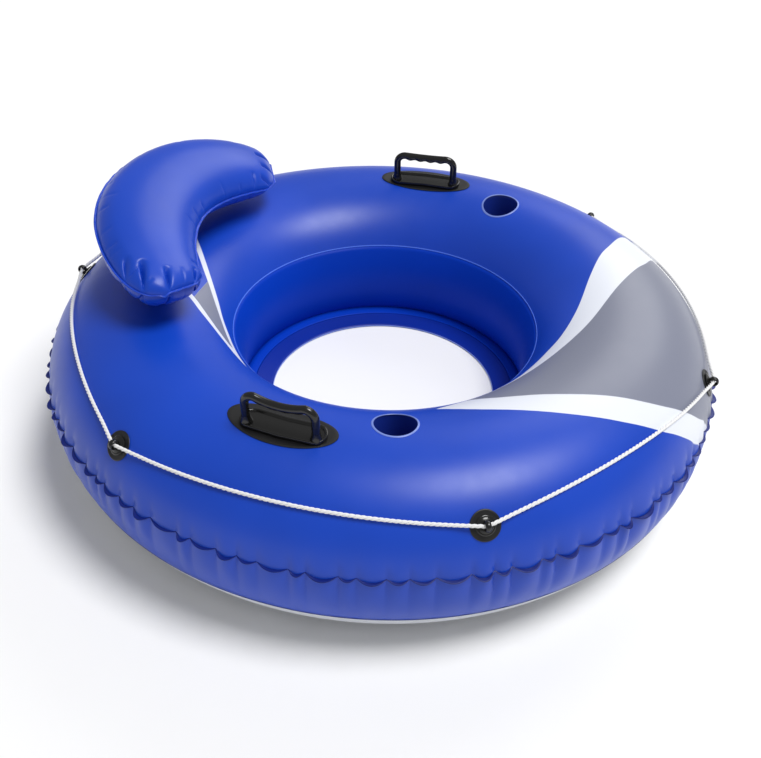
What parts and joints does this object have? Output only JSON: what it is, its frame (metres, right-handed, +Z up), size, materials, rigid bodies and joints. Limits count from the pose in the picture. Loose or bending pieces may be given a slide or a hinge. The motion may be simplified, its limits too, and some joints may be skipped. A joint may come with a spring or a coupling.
{
  "type": "river tube",
  "caption": "Inflatable ring with a floor, a crescent headrest, cup holders, grab handles, a grab rope and two air valves.",
  "frame": {"origin": "under the middle of the outline, at the surface that the tube rests on; the hole's axis is 15 mm nearer the foot end, because the tube is fuller at the head", "axes": "+Z up along the ring's axis, +Y towards the head end with the headrest, +X to the right of someone lying with their head at +Y"},
  "size_m": [1.3312, 1.3574, 0.5291],
  "materials": {
    "blue_vinyl": "satin",
    "deep_blue_vinyl": "satin",
    "grey_vinyl": "satin",
    "white_vinyl": "satin",
    "navy_vinyl": "satin",
    "pale_vinyl": "satin",
    "black_vinyl": "matte",
    "black_plastic": "gloss",
    "white_rope": "matte",
    "clear_plastic": "satin"
  },
  "bodies": {
    "root": {"ring_top_panel": "blue_vinyl", "ring_side_band": "blue_vinyl", "ring_bottom_panel": "grey_vinyl", "ring_inner_band": "blue_vinyl", "outer_weld_flange": "blue_vinyl", "floor_collar": "deep_blue_vinyl", "floor_panel": "white_vinyl", "cup_liner_left": "navy_vinyl", "cup_liner_right": "navy_vinyl", "cup_rim_left": "pale_vinyl", "cup_rim_right": "pale_vinyl", "handle_patch_left": "black_vinyl", "handle_patch_right": "black_vinyl", "handle_left": "black_plastic", "handle_right": "black_plastic", "rope_patch_1": "black_vinyl", "rope_patch_2": "black_vinyl", "rope_patch_3": "black_vinyl", "rope_patch_4": "black_vinyl", "rope_patch_5": "black_vinyl", "rope_patch_6": "black_vinyl", "rope_eye_1": "black_plastic", "rope_eye_2": "black_plastic", "rope_eye_3": "black_plastic", "rope_eye_4": "black_plastic", "rope_eye_5": "black_plastic", "rope_eye_6": "black_plastic", "grab_rope": "white_rope", "rope_knot": "white_rope", "headrest_strip": "blue_vinyl", "main_valve_base": "blue_vinyl"},
    "headrest": {"headrest_upper_skin": "blue_vinyl", "headrest_lower_skin": "blue_vinyl", "headrest_web": "blue_vinyl", "headrest_valve_base": "blue_vinyl"},
    "main_valve_stem": {"main_valve_stem": "clear_plastic"},
    "main_valve_cap": {"main_valve_cap": "clear_plastic"},
    "main_valve_flap": {"main_valve_flap": "clear_plastic"},
    "headrest_valve_stem": {"headrest_valve_stem": "clear_plastic"},
    "headrest_valve_cap": {"headrest_valve_cap": "clear_plastic"},
    "headrest_valve_flap": {"headrest_valve_flap": "clear_plastic"}
  },
  "joints": [
    {"name": "headrest_tilt", "type": "hinge", "parent": "root", "child": "headrest", "pos_m": [0, 0.4512, 0.3603], "axis": [1, 0, 0], "range_deg": [-5, 5], "stiffness_Nm_per_rad": 8},
    {"name": "main_valve_push", "type": "slide", "parent": "root", "child": "main_valve_stem", "axis": [0.9759, 0.1558, -0.153], "range_m": [0, 0.01]},
    {"name": "main_valve_cap_hinge", "type": "hinge", "parent": "main_valve_stem", "child": "main_valve_cap", "pos_m": [0.649, 0.11219, 0.14659], "axis": [0.1515, 0.022, 0.9882], "range_deg": [0, 150]},
    {"name": "main_valve_flap_hinge", "type": "hinge", "parent": "main_valve_stem", "child": "main_valve_flap", "pos_m": [0.6309, 0.10363, 0.14956], "axis": [-0.1515, -0.022, -0.9882], "range_deg": [0, 40], "stiffness_Nm_per_rad": 0.002},
    {"name": "headrest_valve_push", "type": "slide", "parent": "headrest", "child": "headrest_valve_stem", "axis": [0.1348, 0.7326, -0.6672], "range_m": [0, 0.006]},
    {"name": "headrest_valve_cap_hinge", "type": "hinge", "parent": "headrest_valve_stem", "child": "headrest_valve_cap", "pos_m": [0.12119, 0.53509, 0.43306], "axis": [0, -0.6733, -0.7393], "range_deg": [0, 150]},
    {"name": "headrest_valve_flap_hinge", "type": "hinge", "parent": "headrest_valve_stem", "child": "headrest_valve_flap", "pos_m": [0.11528, 0.52509, 0.44216], "axis": [0, 0.6733, 0.7393], "range_deg": [0, 40], "stiffness_Nm_per_rad": 0.001}
  ]
}
